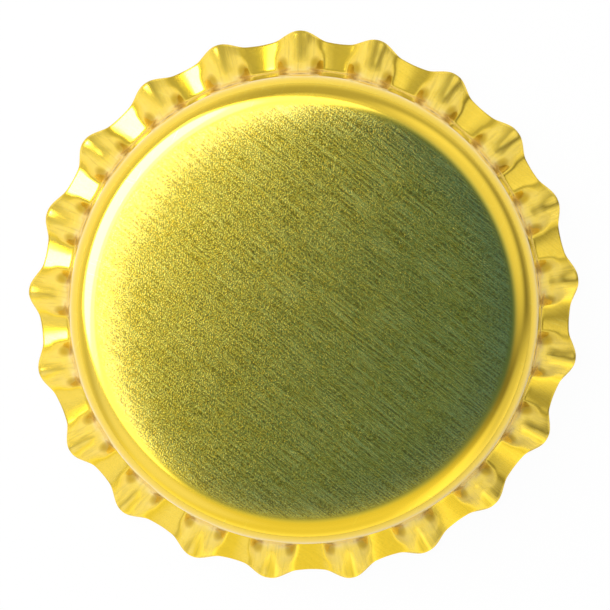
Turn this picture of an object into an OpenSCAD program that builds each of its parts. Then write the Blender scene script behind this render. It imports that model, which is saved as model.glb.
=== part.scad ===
// Crown bottle cap, as it leaves the press: a fluted shell of lacquered tinplate with a moulded
// sealing liner inside. Millimetres, +Z up. The cap lies teeth down: its axis is Z, the rim of the
// flutes' lips is at z = 0 and the flat top is at z = height.

/* [Shell] */
// Diameter over the tooth tips
tip_d = 32.1; // [29:0.1:40]
// Overall height, from the rim of the lips to the flat top
height = 6; // [5:0.1:7.2]
// Thickness of the tinplate
sheet = 0.235; // [0.16:0.005:0.32]
// Outside radius of the rolled shoulder
shoulder_r = 1.7; // [1.3:0.05:2.1]
// How far the skirt flares out from the top of the neck to the tooth tips
flare_out = 2.47; // [1.9:0.01:2.9]
// Taper of the neck, in degrees from the cap's axis
neck_taper = 3; // [1:0.5:5]

/* [Flutes] */
// Number of teeth round the skirt
teeth = 21; // [15:1:24]
// How far the tooth tips stand out beyond the flutes' lips at the rim
flute_depth = 0.65; // [0.4:0.05:0.9]
// How far the tooth tips are lifted above the rim of the lips
tip_lift = 0.6; // [0.3:0.05:0.75]
// Length of neck above the teeth, down to where their crests bend out
crest_neck = 1; // [0.4:0.05:1.4]
// Slope of the crests at their tips, in degrees from level
crest_slope = 32; // [28:0.5:38]
// Slope of the lips, in degrees from level
lip_slope = 24.5; // [15:0.5:30]
// Outside radius of the hollow bend between the neck and a lip
lip_bend = 0.15; // [0.1:0.05:0.6]
// Share of a flute's depth that is a shallow dish across its whole width
dish = 0.25; // [0:0.05:0.35]
// Width of a tooth's flat crest at the neck
crest_w = 1.2; // [0.6:0.05:1.6]
// Width of a tooth across its feet at the neck
foot_w = 2.6; // [1.8:0.05:2.9]
// Width of a tooth's crest at the rim, where it is nearly a point
tip_w = 0.25; // [0.05:0.05:0.6]
// Width of a tooth across its feet at the rim
rim_foot_w = 3.3; // [2.4:0.1:3.5]
// How far in from the rim, along the sheet, the crests start to narrow
sharpen_from = 2.1; // [1.6:0.05:2.6]
// How far in from the rim they have narrowed to their width at the rim
sharpen_to = 1.1; // [0.6:0.05:1.5]
// How far in from the rim the teeth's feet start to widen
widen_from = 1.2; // [0.8:0.05:1.6]
// How far in from the rim they have widened to their full width
widen_to = 0.5; // [0.2:0.05:0.7]

/* [Liner] */
// Thickness of the liner's middle
membrane = 0.25; // [0.15:0.05:0.4]
// Thickness of the ring that seats on the bottle's lip
seat_t = 0.45; // [0.3:0.05:0.7]
// Inside diameter of that ring
seat_d = 17; // [14:0.5:20]
// Height of the two sealing beads, from the shell's inner face
bead_h = 0.9; // [0.7:0.05:1.2]
// Width of a sealing bead
bead_w = 0.8; // [0.5:0.1:1.2]
// Centre diameter of the inner bead
inner_bead_d = 18.6; // [16:0.1:21]
// How far the outer bead's centre stands out beyond the flat top
outer_bead_out = 0.45; // [0.2:0.05:0.7]
// Clearance of the liner's rounded edge from the rolled shoulder
liner_gap = 0.2; // [0.1:0.05:0.4]

/* [Hidden] */

pitch = 360 / teeth;
tip_r = tip_d / 2;
rim_r = tip_r - flute_depth;
neck_r = tip_r - flare_out;
neck_slope = 90 - neck_taper;
seat_z = height - sheet;
// The flat top ends where the shoulder's roll begins, and the roll ends on the neck's taper
top_r = neck_r - shoulder_r * sin(neck_slope);
shoulder_z = height - shoulder_r;
neck_z = shoulder_z + shoulder_r * cos(neck_slope);
// The sheet's cut edge is square to the lips and stands on its inner corner
rim_z = sheet * cos(lip_slope);
tip_z = rim_z + tip_lift;

// A section of the skirt runs down the neck, round a hollow bend and straight out to its foot. It
// is [neck's length, bend's radius, slope, straight length]. The crests' bend fills the room below
// their neck, and the lips' neck reaches down to their bend.
function section_below(neck, slope, out, drop) =
    let (
        over = out - neck * cos(neck_slope),
        under = drop - neck * sin(neck_slope),
        radius = (under * cos(slope) - over * sin(slope)) / (1 - cos(neck_slope - slope))
    )
    [neck, radius, slope, (over - radius * (sin(neck_slope) - sin(slope))) / cos(slope)];
function section_round(radius, slope, out, drop) =
    let (
        over = out - radius * (sin(neck_slope) - sin(slope)),
        under = drop - radius * (cos(slope) - cos(neck_slope)),
        turn = sin(neck_slope - slope)
    )
    [(under * cos(slope) - over * sin(slope)) / turn, radius, slope,
     (over * sin(neck_slope) - under * cos(neck_slope)) / turn];
crest_form = section_below(crest_neck, crest_slope, flare_out, neck_z - tip_z);
lip_form = section_round(lip_bend, lip_slope, rim_r - neck_r, neck_z - rim_z);

function bend_length(form) = form[1] * (neck_slope - form[2]) * PI / 180;
function form_length(form) = form[0] + bend_length(form) + form[3];

// [radius, height] at share s of the way down a section
function along(form, s) =
    let (
        way = s * form_length(form),
        down = min(way, form[0]),
        out = max(0, way - form[0] - bend_length(form)),
        at = neck_slope - (way - down - out) / form[1] * 180 / PI
    )
    [
        neck_r + down * cos(neck_slope) + form[1] * (sin(neck_slope) - sin(at)) + out * cos(form[2]),
        neck_z - down * sin(neck_slope) - form[1] * (cos(at) - cos(neck_slope)) - out * sin(form[2])
    ];

// Levels run down the roll from the flat top (-1) to the neck (0), and down the skirt to the rim (1)
ROLL_BANDS = 4;
NECK_BANDS = 3;
BEND_BANDS = 2;
LIP_BANDS = 5;
bend_from = lip_form[0] / form_length(lip_form);
bend_to = 1 - lip_form[3] / form_length(lip_form);
levels = concat(
    [for (i = [0 : ROLL_BANDS - 1]) i / ROLL_BANDS - 1],
    [for (i = [0 : NECK_BANDS - 1]) bend_from * i / NECK_BANDS],
    [for (i = [0 : BEND_BANDS - 1]) mix(bend_from, bend_to, i / BEND_BANDS)],
    [for (i = [0 : LIP_BANDS]) mix(bend_to, 1, i / LIP_BANDS)]
);
// Shares of a flank's width at which its columns of points stand
FLANK_STEPS = [0, 1 / 3, 2 / 3, 1];

function ease(x) = let (t = max(0, min(1, x))) t * t * (3 - 2 * t);
function mix(a, b, t) = a + (b - a) * t;
// Width at radius r of the skirt, as half the angle that it takes up
function half_angle(width, r) = width / r * 90 / PI;

// [radius, height] of the rolled shoulder at level s
function roll(s) = let (a = 90 - neck_slope * (1 + s))
    [top_r + shoulder_r * cos(a), shoulder_z + shoulder_r * sin(a)];

// How much of a change that runs from one distance above the rim to another is done at level s
function done(s, from, to) = ease((from - (1 - s) * form_length(lip_form)) / (from - to));
function widened(s) = done(s, widen_from, widen_to);
// Half-angles of a tooth across the feet of its sides, and at level s of its crest and of its outline
side_half = half_angle(foot_w, neck_r);
function crest_half(s) =
    mix(half_angle(crest_w, neck_r), half_angle(tip_w, tip_r), done(s, sharpen_from, sharpen_to));
function foot_half(s) = mix(side_half, half_angle(rim_foot_w, tip_r), widened(s));

// Point of the shell's outer face at level s and angle a from the crest of tooth k. A crest and
// the lip beside it come to the same radius at the same level, because the crest's level is squared.
function skin(k, a, s) =
    let (
        off = abs(a),
        side = max(0, min(1, (off - crest_half(s)) / (side_half - crest_half(s)))),
        dished = ease(1 - 2 * off / pitch),
        stands = mix(ease((foot_half(s) - off) / (foot_half(s) - crest_half(s))), dished, dish),
        // A tooth's sides arch up from a crease at their feet, and run out smoothly towards the rim
        rises = mix(mix(1 - (side + side ^ 3) / 2, ease(1 - side), widened(s)), dished, dish),
        lip = along(lip_form, s),
        crest = along(crest_form, s * s),
        lip_r = lip[0] / cos(pitch / 2 - off),
        at = s < 0 ? roll(s) : [mix(lip_r, crest[0], stands), mix(lip[1], crest[1], rises)],
        turn = 90 + k * pitch + a
    )
    [at[0] * cos(turn), at[0] * sin(turn), at[1]];

// The same point carried through the sheet to its inner face, square to the surface
function lining(k, a, s) =
    let (
        round_it = skin(k, a + 0.02, s) - skin(k, a - 0.02, s),
        down_it = skin(k, a, s + 0.001) - skin(k, a, s - 0.001),
        outward = cross(down_it, round_it)
    )
    skin(k, a, s) - sheet * outward / norm(outward);

// The columns of one tooth at level s: from its crest down one flank, the lip's middle and back up
function columns(s) =
    let (
        flank = [for (t = FLANK_STEPS) mix(crest_half(s), foot_half(s), t)],
        n = len(flank)
    )
    concat([0], flank, [pitch / 2], [for (i = [n - 1 : -1 : 0]) -flank[i]]);

function ring(s, inside) = [
    for (k = [0 : teeth - 1])
        let (across = columns(s))
        for (i = [0 : len(across) - 1])
            // Past the lip's middle the columns belong to the next tooth
            let (tooth = k + (i > len(across) / 2 ? 1 : 0))
            inside ? lining(tooth, across[i], s) : skin(tooth, across[i], s)
];

// The sheet's section is a closed loop: down its outer face and back up its inner one
module skirt() {
    across = len(columns(0)) * teeth;
    loop = 2 * len(levels);
    points = [
        for (s = levels) each ring(s, false),
        for (i = [len(levels) - 1 : -1 : 0]) each ring(levels[i], true)
    ];
    faces = [
        for (i = [0 : loop - 1], j = [0 : across - 1])
            let (below = (i + 1) % loop, next = (j + 1) % across)
            each [
                [i * across + j, below * across + next, below * across + j],
                [i * across + j, i * across + next, below * across + next]
            ]
    ];
    polyhedron(points, faces, convexity = 6);
}

module flat_top() {
    translate([0, 0, seat_z])
        linear_extrude(sheet)
            polygon([for (p = ring(-1, false)) [p[0], p[1]]]);
}

module shell() {
    color([0.93, 0.78, 0.25]) {
        skirt();
        flat_top();
    }
}

// A bead's section: a rounded strip hanging from the shell's inner face
module bead(r) {
    translate([r - bead_w / 2, seat_z - bead_h + bead_w / 2])
        square([bead_w, bead_h - bead_w / 2]);
    translate([r, seat_z - bead_h + bead_w / 2])
        circle(d = bead_w, $fn = 48);
}

module liner() {
    inner_roll = shoulder_r - sheet;
    edge_x = top_r - liner_gap;
    outer_r = edge_x + inner_roll;
    color([0.9, 0.9, 0.87])
        rotate_extrude($fn = 180)
            intersection() {
                union() {
                    translate([0, seat_z - membrane])
                        square([outer_r, membrane]);
                    translate([seat_d / 2, seat_z - seat_t])
                        square([outer_r - seat_d / 2, seat_t]);
                    bead(inner_bead_d / 2);
                    bead(top_r + outer_bead_out);
                }
                // Rounded to follow the inside of the rolled shoulder
                union() {
                    square([edge_x, height]);
                    translate([edge_x, shoulder_z])
                        circle(r = inner_roll, $fn = 96);
                }
            }
}

shell();
liner();
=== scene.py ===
import math
import random

import bmesh
import bpy
from mathutils import Matrix, Vector


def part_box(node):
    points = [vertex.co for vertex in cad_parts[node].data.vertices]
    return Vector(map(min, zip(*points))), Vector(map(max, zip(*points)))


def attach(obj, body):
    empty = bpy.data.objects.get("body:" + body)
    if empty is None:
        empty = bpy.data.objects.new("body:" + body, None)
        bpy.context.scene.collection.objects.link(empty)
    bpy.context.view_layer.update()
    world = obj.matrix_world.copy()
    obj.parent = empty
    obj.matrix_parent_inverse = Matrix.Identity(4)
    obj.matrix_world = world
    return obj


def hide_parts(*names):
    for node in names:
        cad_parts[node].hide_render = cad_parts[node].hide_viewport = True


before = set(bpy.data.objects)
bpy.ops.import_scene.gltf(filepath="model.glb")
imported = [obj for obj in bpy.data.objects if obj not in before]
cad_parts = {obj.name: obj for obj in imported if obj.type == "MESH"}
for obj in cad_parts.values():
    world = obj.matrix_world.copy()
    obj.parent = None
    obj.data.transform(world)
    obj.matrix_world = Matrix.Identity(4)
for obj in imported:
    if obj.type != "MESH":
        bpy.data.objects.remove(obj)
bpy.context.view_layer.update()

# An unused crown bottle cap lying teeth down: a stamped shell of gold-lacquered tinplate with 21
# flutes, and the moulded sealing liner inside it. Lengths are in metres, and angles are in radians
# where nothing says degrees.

MM = 0.001

# ---------------------------------------------------------------- driving dimensions

_, SHELL_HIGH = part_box("shell")
TOP_Z = SHELL_HIGH.z
TIP_R = SHELL_HIGH.y
SHEET = 0.235 * MM
SHOULDER_R = 1.7 * MM
FLARE_OUT = 2.47 * MM
NECK_SLOPE = math.radians(87)
TEETH = 21
PITCH = 2 * math.pi / TEETH
FLUTE_DEPTH = 0.65 * MM
TIP_LIFT = 0.6 * MM
# A crest: how far it runs down the neck, and the slopes at the ends of its two bends
CREST_NECK = 1.0 * MM
CREST_TURN = math.radians(45)
CREST_SLOPE = math.radians(26)
# A lip between two teeth: its slope, and the radius of the bend above it
LIP_SLOPE = math.radians(24.5)
LIP_BEND = 0.15 * MM
# A tooth's widths: its crest and foot at the neck, its ridge above the tip, its tip, and its foot
# at the rim
CREST_W = 1.2 * MM
FOOT_W = 2.6 * MM
RIDGE_W = 0.06 * MM
TIP_W = 0.12 * MM
RIM_FOOT_W = 3.3 * MM
# Distances up from the rim between which a crest narrows to its ridge, and a foot widens
SHARPEN_FROM, SHARPEN_TO = 2.2 * MM, 1.4 * MM
WIDEN_FROM, WIDEN_TO = 1.2 * MM, 0.5 * MM
# Share of a flute's form that is a plain dish, from crest to crest
DISH = 0.25
# The top sinks by this much to its edge, and leans by this much there
TOP_SINK = 0.05 * MM
TOP_EDGE = math.radians(4)
BEVEL = 0.03 * MM

NECK_R = TIP_R - FLARE_OUT
TOP_R = NECK_R - SHOULDER_R * math.sin(NECK_SLOPE)
SHOULDER_Z = TOP_Z - SHOULDER_R
NECK_Z = SHOULDER_Z + SHOULDER_R * math.cos(NECK_SLOPE)
RIM_Z = SHEET * math.cos(LIP_SLOPE)
TIP_Z = RIM_Z + TIP_LIFT


def mix(a, b, t):
    return a + (b - a) * t


def ease(x):
    t = min(1.0, max(0.0, x))
    return t * t * (3 - 2 * t)


# ---------------------------------------------------------------- shader maths


class Wire:
    """An output socket. An expression on it adds its Math nodes to the same tree."""

    def __init__(self, tree, socket):
        self.tree, self.socket = tree, socket

    def maths(self, operation, *others):
        return self.tree.add("ShaderNodeMath", {"operation": operation}, (self, *others))

    def __add__(self, other):
        return self.maths("ADD", other)

    def __sub__(self, other):
        return self.maths("SUBTRACT", other)

    def __rsub__(self, other):
        return self.tree.add("ShaderNodeMath", {"operation": "SUBTRACT"}, (other, self))

    def __mul__(self, other):
        return self.maths("MULTIPLY", other)

    def __pow__(self, other):
        return self.maths("POWER", other)

    __radd__, __rmul__ = __add__, __mul__


class Tree:
    """The nodes of a material or of the world."""

    def __init__(self, owner):
        owner.use_nodes = True
        self.nodes, self.links = owner.node_tree.nodes, owner.node_tree.links

    def add(self, kind, settings=None, sockets=(), out=0):
        """Adds a node. Its settings come first, with a ramp's stops, and then its sockets, by name
        or by number, each with a value or a Wire. Returns the Wire of one of its outputs."""
        node = self.nodes.new(kind)
        for name, value in (settings or {}).items():
            if name == "stops":
                stops = node.color_ramp.elements
                stops[0].position, stops[0].color = value[0]
                stops[1].position, stops[1].color = value[-1]
                for place, colour in value[1:-1]:
                    stops.new(place).color = colour
            else:
                setattr(node, name, value)
        self.feed(node, sockets)
        return Wire(self, node.outputs[out])

    def feed(self, node, sockets):
        for place, value in sockets.items() if isinstance(sockets, dict) else enumerate(sockets):
            if isinstance(value, Wire):
                self.links.new(value.socket, node.inputs[place])
            else:
                node.inputs[place].default_value = value


def laid_on(under, over, mask):
    """One colour laid on another where the mask is 1."""
    return mask.tree.add("ShaderNodeMix", {"data_type": "RGBA"}, {0: mask, 6: under, 7: over}, 2)


def rising(value, start, end):
    """Eases from 0 at the start to 1 at the end, which may be the lower of the two."""
    return value.tree.add(
        "ShaderNodeMapRange", {"interpolation_type": "SMOOTHSTEP"}, (value, start, end, 0, 1))


def band(value, low, high, soft):
    """1 between two values, easing to 0 outside them."""
    return rising(value, low - soft, low + soft) * rising(value, high + soft, high - soft)


def mottle(where, size, detail=2.0, rough=0.5):
    """Cloudy noise about 0.5, with features of that size."""
    return where.tree.add(
        "ShaderNodeTexNoise", {},
        {"Vector": where, "Scale": 1 / size, "Detail": detail, "Roughness": rough}, "Fac")


def crystals(where, size):
    """A random value from 0 to 1 for each grain of that size."""
    grains = where.tree.add("ShaderNodeTexVoronoi", {}, {"Vector": where, "Scale": 1 / size}, "Color")
    return where.tree.add("ShaderNodeSeparateXYZ", {}, (grains,))


def brushed(where, degrees, length, width, detail=2.0):
    """Noise about 0.5 drawn out into strokes of that length and width, at an angle from +X."""
    laid = where.tree.add(
        "ShaderNodeMapping", {"vector_type": "TEXTURE"},
        {"Vector": where, "Rotation": (0, 0, math.radians(degrees)), "Scale": (length, width, MM)})
    return mottle(laid, 1, detail)


def relief(height, depth, normal=None):
    """A surface normal for a height from 0 to 1 that stands for that depth."""
    sockets = {"Height": height, "Distance": depth, "Strength": 1}
    if normal:
        sockets["Normal"] = normal
    return height.tree.add("ShaderNodeBump", {}, sockets)


def principled(name, still, changing):
    """Dresses a new material's surface: `still` holds plain values, and `changing` is given the
    tree and the object's coordinates and returns what changes over the surface."""
    material = bpy.data.materials.new(name)
    tree = Tree(material)
    surface = tree.nodes["Principled BSDF"]
    tree.feed(surface, still)
    where = tree.add("ShaderNodeTexCoord", out="Object")
    tree.feed(surface, changing(tree, where))
    return material


# ---------------------------------------------------------------- finishes

LACQUER = (0.93, 0.64, 0.015, 1)
STRETCHED_LACQUER = (0.96, 0.70, 0.08, 1)
DEEP_LACQUER = (0.46, 0.32, 0.002, 1)
THIN_LACQUER = (1.0, 0.82, 0.12, 1)
# Painted shade, laid in the creases at the teeth's feet and round the bottom of the neck
PAINTED_SHADE_LACQUER = (0.54, 0.34, 0.002, 1)

# The tinplate's grain: the rolling strokes' angle from +X in degrees and their size, and the crystals
STROKE_ANGLE = -39
STROKE_LENGTH, STROKE_WIDTH = 3.0 * MM, 0.075 * MM
CRYSTAL = 0.055 * MM
GRAIN_DEPTH = 0.004 * MM
# The wrinkles down the teeth
PLEAT_LENGTH, PLEAT_WIDTH = 1.6 * MM, 0.16 * MM
PLEAT_DEPTH = 0.010 * MM
# The painted shade in the crease at a tooth's foot: its middle, off the crest's line and from the axis,
# and its half size
CREASE_OFF, CREASE_R = 0.96 * MM, 14.06 * MM
CREASE_ACROSS, CREASE_ALONG = 0.3 * MM, 0.5 * MM
# Hairline scratches: angle from +X in degrees, length, and the noise above which one shows
HAIRLINES = ((62, 1.7 * MM, 0.79), (-21, 2.2 * MM, 0.8))
HAIRLINE_WIDTH = 0.03 * MM


def around_the_axis(tree, where):
    """Distance from the axis, place along +X, angle from +Y, and angle from the nearest crest."""
    split = tree.add("ShaderNodeSeparateXYZ", {}, (where,))
    x, y = (Wire(tree, split.socket.node.outputs[axis]) for axis in "XY")
    turn = x.maths("ARCTAN2", y)
    return (x * x + y * y) ** 0.5, x, turn, turn.maths("PINGPONG", PITCH / 2)


def lacquered_tinplate():
    """Bright tinplate, rolled and brushed before it was stamped, under clear gold lacquer."""

    def changing(tree, where):
        radius, along, turn, off_crest = around_the_axis(tree, where)
        across = off_crest * radius
        # Masks for the cap's parts
        flat = rising(radius, TOP_R + 0.25 * MM, TOP_R - 0.15 * MM)
        middle = rising(radius, TOP_R - 0.1 * MM, TOP_R - 2.4 * MM)
        skirt = rising(radius, NECK_R + 0.02 * MM, NECK_R + 0.25 * MM)
        lip = skirt * rising(across, 1.15 * MM, 1.4 * MM)
        tooth = skirt * rising(across, 1.2 * MM, 0.9 * MM)
        neck = band(radius, NECK_R - 0.05 * MM, NECK_R + 0.2 * MM, 0.12 * MM)
        # Painted shade: darker lacquer and less coat in the creases at the teeth's feet, and a little
        # round the bottom of the neck
        beside = (across - CREASE_OFF) * (1 / CREASE_ACROSS)
        below = (radius - CREASE_R) * (1 / CREASE_ALONG)
        crease_shade = rising(beside * beside + below * below, 1.8, 0.1)
        painted_shade = (crease_shade * 0.9).maths("MAXIMUM", neck * 0.1)
        # The grain: crystal sparkle everywhere, rolling strokes that show more towards +X
        grained = flat + lip * 0.12
        clouds = mottle(where, 5 * MM)
        drawn = rising(along + clouds * (6 * MM), -9 * MM, 9 * MM)
        marks = 0.35 + drawn * 0.3
        strokes = brushed(where, STROKE_ANGLE, STROKE_LENGTH, STROKE_WIDTH, 1)
        sparkle = crystals(where, CRYSTAL)
        grain = mottle(where, STROKE_WIDTH, 1) + strokes * marks
        # Fine wrinkles that run down the teeth, where the sheet was drawn
        down = (turn * (NECK_R / PLEAT_WIDTH), radius * (1 / PLEAT_LENGTH), 0)
        pleats = mottle(tree.add("ShaderNodeCombineXYZ", {}, down), 1, 2)
        hairs = sum(
            rising(brushed(where, angle, length, HAIRLINE_WIDTH, 0), shows, shows + 0.04)
            for angle, length, shows in HAIRLINES)

        def worked(crystal_end, stroke_end, pleat_end, pleated):
            """Where the grain and the wrinkles run to one side of their mean, up to those values."""
            speckle = rising(sparkle, 0.5, crystal_end) * 0.75
            streaks = rising(strokes, 0.5, stroke_end) * marks
            return grained * (speckle + streaks) + tooth * rising(pleats, 0.5, pleat_end) * pleated

        film = laid_on(LACQUER, STRETCHED_LACQUER, tooth * 0.45)
        film = laid_on(film, DEEP_LACQUER, worked(0.1, 0.38, 0.3, 0.25))
        film = laid_on(film, THIN_LACQUER, worked(0.9, 0.62, 0.7, 0.2) + hairs * 0.6)
        # Lays the painted shade in the creases and round the bottom of the neck
        film = laid_on(film, PAINTED_SHADE_LACQUER, painted_shade)
        normal = relief(tooth * pleats, PLEAT_DEPTH, relief(grained * grain, GRAIN_DEPTH))
        return {
            "Base Color": film,
            "Roughness": 0.127 + clouds * 0.02 + skirt * 0.055,
            # The coat thins where the shade is painted, and over the middle of the top
            "Coat Weight": 1 - painted_shade * 0.8 - middle * 0.45,
            "Normal": normal,
        }

    coated = {"Metallic": 1, "Coat Roughness": 0.11, "Coat IOR": 1.6}
    return principled("gold_lacquer", coated, changing)


def cut_steel():
    """The bare edge that the press's blanking die left."""

    def changing(tree, where):
        strokes = brushed(where, 0, 0.12 * MM, 0.12 * MM, 3)
        colour = laid_on((0.50, 0.48, 0.45, 1), (0.72, 0.69, 0.63, 1), strokes)
        return {
            "Base Color": colour,
            "Roughness": 0.28 + strokes * 0.2,
            "Normal": relief(strokes, 0.004 * MM),
        }

    return principled("cut_steel", {"Metallic": 1}, changing)


def sealing_compound():
    """Moulded off-white polyethylene, with the faint turned rings of the punch that formed it."""

    def changing(tree, where):
        radius = around_the_axis(tree, where)[0]
        rings = (radius * (2 * math.pi / (0.21 * MM))).maths("SINE") * 0.5 + 0.5
        fine = mottle(where, 0.25 * MM, 3, 0.6)
        clouds = mottle(where, 3.5 * MM)
        specks = rising(mottle(where, 0.5 * MM, 0), 0.80, 0.84)
        colour = laid_on((0.86, 0.86, 0.81, 1), (0.76, 0.76, 0.70, 1), rising(clouds, 0.35, 0.7))
        return {
            "Base Color": laid_on(colour, (0.60, 0.58, 0.50, 1), specks),
            "Roughness": 0.30 + fine * 0.16 + rings * 0.04,
            "Normal": relief(rings * 0.35 + fine * 0.65, 0.006 * MM),
        }

    soft = {
        "Subsurface Weight": 0.25,
        "Subsurface Radius": (0.9, 0.9, 0.75),
        "Subsurface Scale": 0.35 * MM,
    }
    return principled("sealing_compound", soft, changing)


# ---------------------------------------------------------------- mesh helpers


def piece_from(bm, name, *materials):
    """Turns a finished bmesh into a smooth-shaded object at the origin."""
    mesh = bpy.data.meshes.new(name)
    bm.to_mesh(mesh)
    bm.free()
    mesh.shade_smooth()
    for material in materials:
        mesh.materials.append(material)
    piece = bpy.data.objects.new(name, mesh)
    bpy.context.scene.collection.objects.link(piece)
    return piece


def spun(outline, steps):
    """A full turn of an outline of (radius, height) points about the axis."""
    bm = bmesh.new()
    rings = [bm.verts.new((0, r, z)) for r, z in outline]
    edges = [bm.edges.new(pair) for pair in zip(rings, rings[1:])]
    bmesh.ops.spin(
        bm, geom=rings + edges, cent=(0, 0, 0), axis=(0, 0, 1), dvec=(0, 0, 0),
        angle=2 * math.pi, steps=steps, use_merge=True, use_duplicate=False)
    bmesh.ops.remove_doubles(bm, verts=bm.verts, dist=1e-7)
    bmesh.ops.recalc_face_normals(bm, faces=bm.faces)
    return bm


# ---------------------------------------------------------------- shell

COLUMNS_A_TOOTH = 28
ROLL_RINGS = 18
SKIRT_RINGS = 46
TOP_RINGS = 15


def flared(u, legs):
    """(radius, height) at share u of the way down a section of the skirt, which leaves the neck and
    whose legs are each a length and the slope that it turns to on the way."""
    left = u * sum(length for length, _ in legs)
    r, z, slope = NECK_R, NECK_Z, NECK_SLOPE
    for length, end in legs:
        part = min(left, length)
        left -= part
        at = slope - (slope - end) * part / length
        if slope - end < 1e-6:
            r, z = r + part * math.cos(slope), z - part * math.sin(slope)
        else:
            radius = length / (slope - end)
            r += radius * (math.sin(slope) - math.sin(at))
            z -= radius * (math.cos(at) - math.cos(slope))
        slope = at
    return r, z


def crest_legs():
    """Down the neck, round a bend, and on along a flatter one, to the tips. The two bends' radii
    are the ones that bring the crest out to TIP_R and down to TIP_Z."""
    out = FLARE_OUT - CREST_NECK * math.cos(NECK_SLOPE)
    drop = NECK_Z - TIP_Z - CREST_NECK * math.sin(NECK_SLOPE)
    tight, wide = (
        Vector((math.sin(start) - math.sin(end), math.cos(end) - math.cos(start)))
        for start, end in ((NECK_SLOPE, CREST_TURN), (CREST_TURN, CREST_SLOPE)))
    whole = tight.x * wide.y - tight.y * wide.x
    tight_r = (out * wide.y - drop * wide.x) / whole
    wide_r = (drop * tight.x - out * tight.y) / whole
    return (
        (CREST_NECK, NECK_SLOPE),
        (tight_r * (NECK_SLOPE - CREST_TURN), CREST_TURN),
        (wide_r * (CREST_TURN - CREST_SLOPE), CREST_SLOPE),
    )


def lip_legs():
    """Down the neck, sharply round, and straight out to the rim."""
    out = FLARE_OUT - FLUTE_DEPTH - LIP_BEND * (math.sin(NECK_SLOPE) - math.sin(LIP_SLOPE))
    drop = NECK_Z - RIM_Z - LIP_BEND * (math.cos(LIP_SLOPE) - math.cos(NECK_SLOPE))
    turn = math.sin(NECK_SLOPE - LIP_SLOPE)
    neck = (drop * math.cos(LIP_SLOPE) - out * math.sin(LIP_SLOPE)) / turn
    straight = (out * math.sin(NECK_SLOPE) - drop * math.cos(NECK_SLOPE)) / turn
    return (neck, NECK_SLOPE), (LIP_BEND * (NECK_SLOPE - LIP_SLOPE), LIP_SLOPE), (straight, LIP_SLOPE)


CREST_LEGS, LIP_LEGS = crest_legs(), lip_legs()
LIP_LENGTH = sum(length for length, _ in LIP_LEGS)


def crest(u):
    # Squared, so that a crest and the lip beside it come to the same radius at the same share
    return flared(u * u, CREST_LEGS)


def valley(u):
    return flared(u, LIP_LEGS)


SKIRT_LEVELS = [i / SKIRT_RINGS for i in range(SKIRT_RINGS + 1)]
CREST_HEIGHTS = [crest(u)[1] for u in SKIRT_LEVELS]


def shell_outline():
    """Half section of the cap before its flutes are pressed: a top that sinks by a hair's breadth
    towards its edge, as the punch leaves it, the rolled shoulder and the skirt."""
    edge_r = TOP_R + SHOULDER_R * math.sin(TOP_EDGE)
    sink = SHOULDER_R - (SHOULDER_R - TOP_SINK) * math.cos(TOP_EDGE)
    power = edge_r * math.tan(TOP_EDGE) * (1 - TOP_SINK / SHOULDER_R) / sink
    top = [(edge_r * x, TOP_Z - sink * x ** power) for x in (i / TOP_RINGS for i in range(TOP_RINGS))]
    roll = [
        (TOP_R + SHOULDER_R * math.sin(a), SHOULDER_Z + (SHOULDER_R - TOP_SINK) * math.cos(a))
        for a in (mix(TOP_EDGE, NECK_SLOPE, i / ROLL_RINGS) for i in range(ROLL_RINGS))
    ]
    return top + roll + [crest(u) for u in SKIRT_LEVELS]


def half_angle(width, radius):
    return width / radius / 2


def tooth_scatter():
    """How far each tooth and the lip after it stray from their even form, as the press leaves them."""
    chance = random.Random(21)
    return [
        {
            "aside": math.radians(chance.uniform(-0.45, 0.45)),
            "reach": chance.uniform(-0.075, 0.075) * MM,
            "lift": chance.uniform(-0.08, 0.08) * MM,
            "blunt": chance.uniform(-0.06, 0.10) * MM,
            "tilt": chance.uniform(-0.03, 0.03),
            "sag": chance.uniform(-0.06, 0.03) * MM,
        }
        for _ in range(TEETH)
    ]


def flute_shares(off, aside, ridge_w, sharpen, widen):
    """How far out and how high the sheet stands at that angle off a tooth's middle: 1 on the crest,
    and 0 on the flute's back or lip."""
    a = abs(off - aside * sharpen)
    crest_half = mix(half_angle(CREST_W, NECK_R), half_angle(ridge_w, TIP_R), sharpen)
    side_half = half_angle(FOOT_W, NECK_R)
    foot_half = mix(side_half, half_angle(RIM_FOOT_W, TIP_R), widen)
    side = min(1, max(0, (a - crest_half) / (side_half - crest_half)))
    dished = ease(1 - 2 * abs(off) / PITCH)
    out = mix(ease((foot_half - a) / (foot_half - crest_half)), dished, DISH)
    high = mix(mix(1 - (side + side ** 3) / 2, ease(1 - side), widen), dished, DISH)
    return out, high


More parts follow.
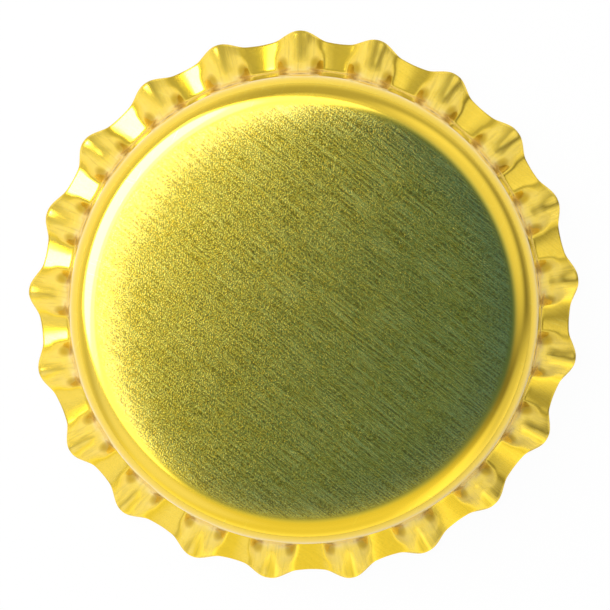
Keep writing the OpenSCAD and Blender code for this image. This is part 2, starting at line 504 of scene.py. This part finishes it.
def press_flutes(bm):
    """Moves the skirt's vertices between the teeth inwards, onto the flutes' backs and lips."""
    scatter = tooth_scatter()
    for v in bm.verts:
        if v.co.z > NECK_Z - 1e-8:
            continue
        ring = min(range(SKIRT_RINGS + 1), key=lambda i: abs(CREST_HEIGHTS[i] - v.co.z))
        u = SKIRT_LEVELS[ring]
        up = (1 - u) * LIP_LENGTH
        sharpen = ease((SHARPEN_FROM - up) / (SHARPEN_FROM - SHARPEN_TO))
        widen = ease((WIDEN_FROM - up) / (WIDEN_FROM - WIDEN_TO))
        turn = math.atan2(v.co.y, v.co.x) - math.pi / 2
        off = (turn + PITCH / 2) % PITCH - PITCH / 2
        stray = scatter[math.floor(turn / PITCH + 0.5) % TEETH]
        lip_stray = scatter[math.floor(turn / PITCH) % TEETH]
        ridge_w = mix(TIP_W + stray["blunt"], RIDGE_W, min(1, up / SHARPEN_TO))
        out, high = flute_shares(off, stray["aside"], ridge_w, sharpen, widen)
        crest_r, crest_z = crest(u)
        crest_r += stray["reach"] * widen
        crest_z += stray["lift"] * widen
        lip_r, lowest = valley(u)
        lip_r /= math.cos(PITCH / 2 - abs(off))
        tilt = lip_stray["tilt"] * TIP_R * (off - math.copysign(PITCH / 2, off))
        lip_z = max(lowest, lowest + (tilt + lip_stray["sag"]) * sharpen)
        shift = mix(lip_r, crest_r, out) / math.hypot(v.co.x, v.co.y)
        v.co = v.co.x * shift, v.co.y * shift, mix(lip_z, crest_z, high)


def make_shell():
    bm = spun(shell_outline(), TEETH * COLUMNS_A_TOOTH)
    press_flutes(bm)
    piece = piece_from(bm, "crown_shell", lacquered_tinplate(), cut_steel())
    wall = piece.modifiers.new("sheet", "SOLIDIFY")
    wall.thickness = SHEET
    wall.offset = -1
    wall.use_even_offset = True
    wall.use_quality_normals = True
    wall.material_offset_rim = 1
    edge = piece.modifiers.new("cut_edge", "BEVEL")
    edge.width = BEVEL
    edge.segments = 2
    edge.limit_method = "ANGLE"
    edge.angle_limit = math.radians(60)
    edge.material = 0
    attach(piece, "root")
    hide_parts("shell")


def dress_liner():
    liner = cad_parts["liner"]
    liner.data.materials.clear()
    liner.data.materials.append(sealing_compound())


# ---------------------------------------------------------------- stage

FLOOR_R = 2.4
FLOOR_RINGS = 6
FLOOR_STEPS = 96
# Share of plain white in what the camera sees of the floor, and in what the cap mirrors of it
FLOOR_SEEN, FLOOR_MIRRORED = 0.97, 0.3

# Softboxes on the cap's upper left, one within another, so that the key's middle is the brightest:
# name, shape, azimuth and lean in degrees, distance, width and height in degrees, and radiance
KEY = (
    ("key", "RECTANGLE", 151, 32.5, 0.22, (60, 57.6), 1.85),
    ("key_core", "ELLIPSE", 152, 36, 0.24, (56, 47.6), 3.6),
    ("key_heart", "ELLIPSE", 152, 41.5, 0.26, (54, 36), 5.5),
)

# The room's walls: height from 0 at the horizon to 1 overhead, and grey
WALLS = ((0.02, 0.6), (0.17, 0.40), (0.34, 0.23), (0.5, 0.22), (0.64, 0.25), (0.85, 0.17))
CEILING = (0.95, (0.06, 0.148, 0.38, 1))

# Broad soft panes on the walls: azimuth, lean, the half angles of the even middle and of the whole,
# all in degrees, and colour
PANES = (
    (30, 43, 10, 36, (0.72, 0.72, 0.70, 1)),
    (75, 76, 12, 48, (0.30, 0.30, 0.27, 1)),
    (92, 33, 3, 17, (0.55, 0.55, 0.50, 1)),
    (158, 76, 22, 62, (0.50, 0.49, 0.44, 1)),
    (222, 52, 6, 30, (0.10, 0.15, 0.80, 1)),
    (262, 64, 35, 60, (0.68, 0.65, 0.26, 1)),
    (322, 73, 12, 34, (0.55, 0.55, 0.50, 1)),
)


def floor_card():
    """Matt pale card that shows white to the camera, apart from the cap's shadow on it."""
    material = bpy.data.materials.new("floor_card")
    tree = Tree(material)
    tree.nodes.remove(tree.nodes["Principled BSDF"])
    seen = tree.add("ShaderNodeLightPath", out="Is Camera Ray")
    mirrored = Wire(tree, seen.socket.node.outputs["Is Glossy Ray"])
    matt = tree.add("ShaderNodeBsdfDiffuse", {}, {"Color": (0.45, 0.45, 0.45, 1)})
    white = tree.add("ShaderNodeEmission", {}, {"Color": (1, 1, 1, 1), "Strength": 1})
    whitened = seen * FLOOR_SEEN + mirrored * FLOOR_MIRRORED
    shown = tree.add("ShaderNodeMixShader", {}, (whitened, matt, white))
    tree.feed(tree.nodes["Material Output"], {"Surface": shown})
    return material


def make_floor():
    rings = [(FLOOR_R * i / FLOOR_RINGS, 0) for i in range(FLOOR_RINGS + 1)]
    piece_from(spun(rings, FLOOR_STEPS), "floor", floor_card())


def facing(azimuth, lean):
    """Unit vector at an azimuth from +X towards +Y and a lean from straight overhead, in degrees."""
    a, b = math.radians(azimuth), math.radians(lean)
    return Vector((math.cos(a) * math.sin(b), math.sin(a) * math.sin(b), math.cos(b)))


def softbox(name, shape, azimuth, lean, distance, spans, radiance):
    """A softbox that looks at the cap from that side and spans those angles."""
    data = bpy.data.lights.new(name, "AREA")
    data.shape = shape
    data.size, data.size_y = (2 * distance * math.tan(math.radians(span / 2)) for span in spans)
    data.energy = radiance * math.pi * data.size * data.size_y
    if shape == "ELLIPSE":
        data.energy *= math.pi / 4
    lamp = bpy.data.objects.new(name, data)
    away, across = facing(azimuth, lean), facing(azimuth + 90, 90)
    axes = Matrix((across, away.cross(across), away)).transposed().to_4x4()
    lamp.matrix_world = Matrix.Translation(away * distance) @ axes
    lamp.visible_camera = False
    bpy.context.scene.collection.objects.link(lamp)


def make_room():
    """Dim walls with broad soft panes, bluish overhead, and white where the camera sees them."""
    world = bpy.data.worlds.new("room")
    bpy.context.scene.world = world
    tree = Tree(world)
    way = tree.add("ShaderNodeTexCoord", out="Generated")
    split = tree.add("ShaderNodeSeparateXYZ", {}, (way,))
    stops = [(place, (grey, grey, grey, 1)) for place, grey in WALLS] + [CEILING]
    height = Wire(tree, split.socket.node.outputs["Z"])
    room = tree.add("ShaderNodeValToRGB", {"stops": stops}, (height,))
    for azimuth, lean, core, reach, colour in PANES:
        toward = tree.add(
            "ShaderNodeVectorMath", {"operation": "DOT_PRODUCT"}, (way, facing(azimuth, lean)), "Value")
        pane = rising(toward, math.cos(math.radians(reach)), math.cos(math.radians(core)))
        adding = {"data_type": "RGBA", "blend_type": "ADD"}
        room = tree.add("ShaderNodeMix", adding, {0: pane, 6: room, 7: colour}, 2)
    seen = tree.add("ShaderNodeLightPath", out="Is Camera Ray")
    tree.feed(tree.nodes["Background"], {"Color": laid_on(room, (1, 1, 1, 1), seen), "Strength": 1})


# ---------------------------------------------------------------- camera

CAMERA_DISTANCE = 0.45
SENSOR_WIDTH = 36
FRAME_WIDTH = 35.53 * MM
# The camera leans off straight overhead towards +X and +Y, and rolls
LEAN_X, LEAN_Y, ROLL = (math.radians(angle) for angle in (1.0, 3.1, 1.3))
TARGET = Vector((0.005 * MM, 0.091 * MM, TIP_Z))


def make_camera():
    """Looks almost straight down on the cap."""
    data = bpy.data.cameras.new("camera")
    data.sensor_width = SENSOR_WIDTH
    data.lens = SENSOR_WIDTH * CAMERA_DISTANCE / FRAME_WIDTH
    data.clip_start, data.clip_end = 0.01, 5
    camera = bpy.data.objects.new("camera", data)
    back = Vector((math.sin(LEAN_X), math.sin(LEAN_Y), 1)).normalized()
    across = Vector((math.sin(ROLL), math.cos(ROLL), 0)).cross(back).normalized()
    axes = Matrix((across, back.cross(across), back)).transposed().to_4x4()
    camera.matrix_world = Matrix.Translation(TARGET + back * CAMERA_DISTANCE) @ axes
    bpy.context.scene.collection.objects.link(camera)
    bpy.context.scene.camera = camera


make_camera()
make_shell()
dress_liner()
make_floor()
for form in KEY:
    softbox(*form)
make_room()

bpy.context.scene.view_settings.view_transform = "Standard"
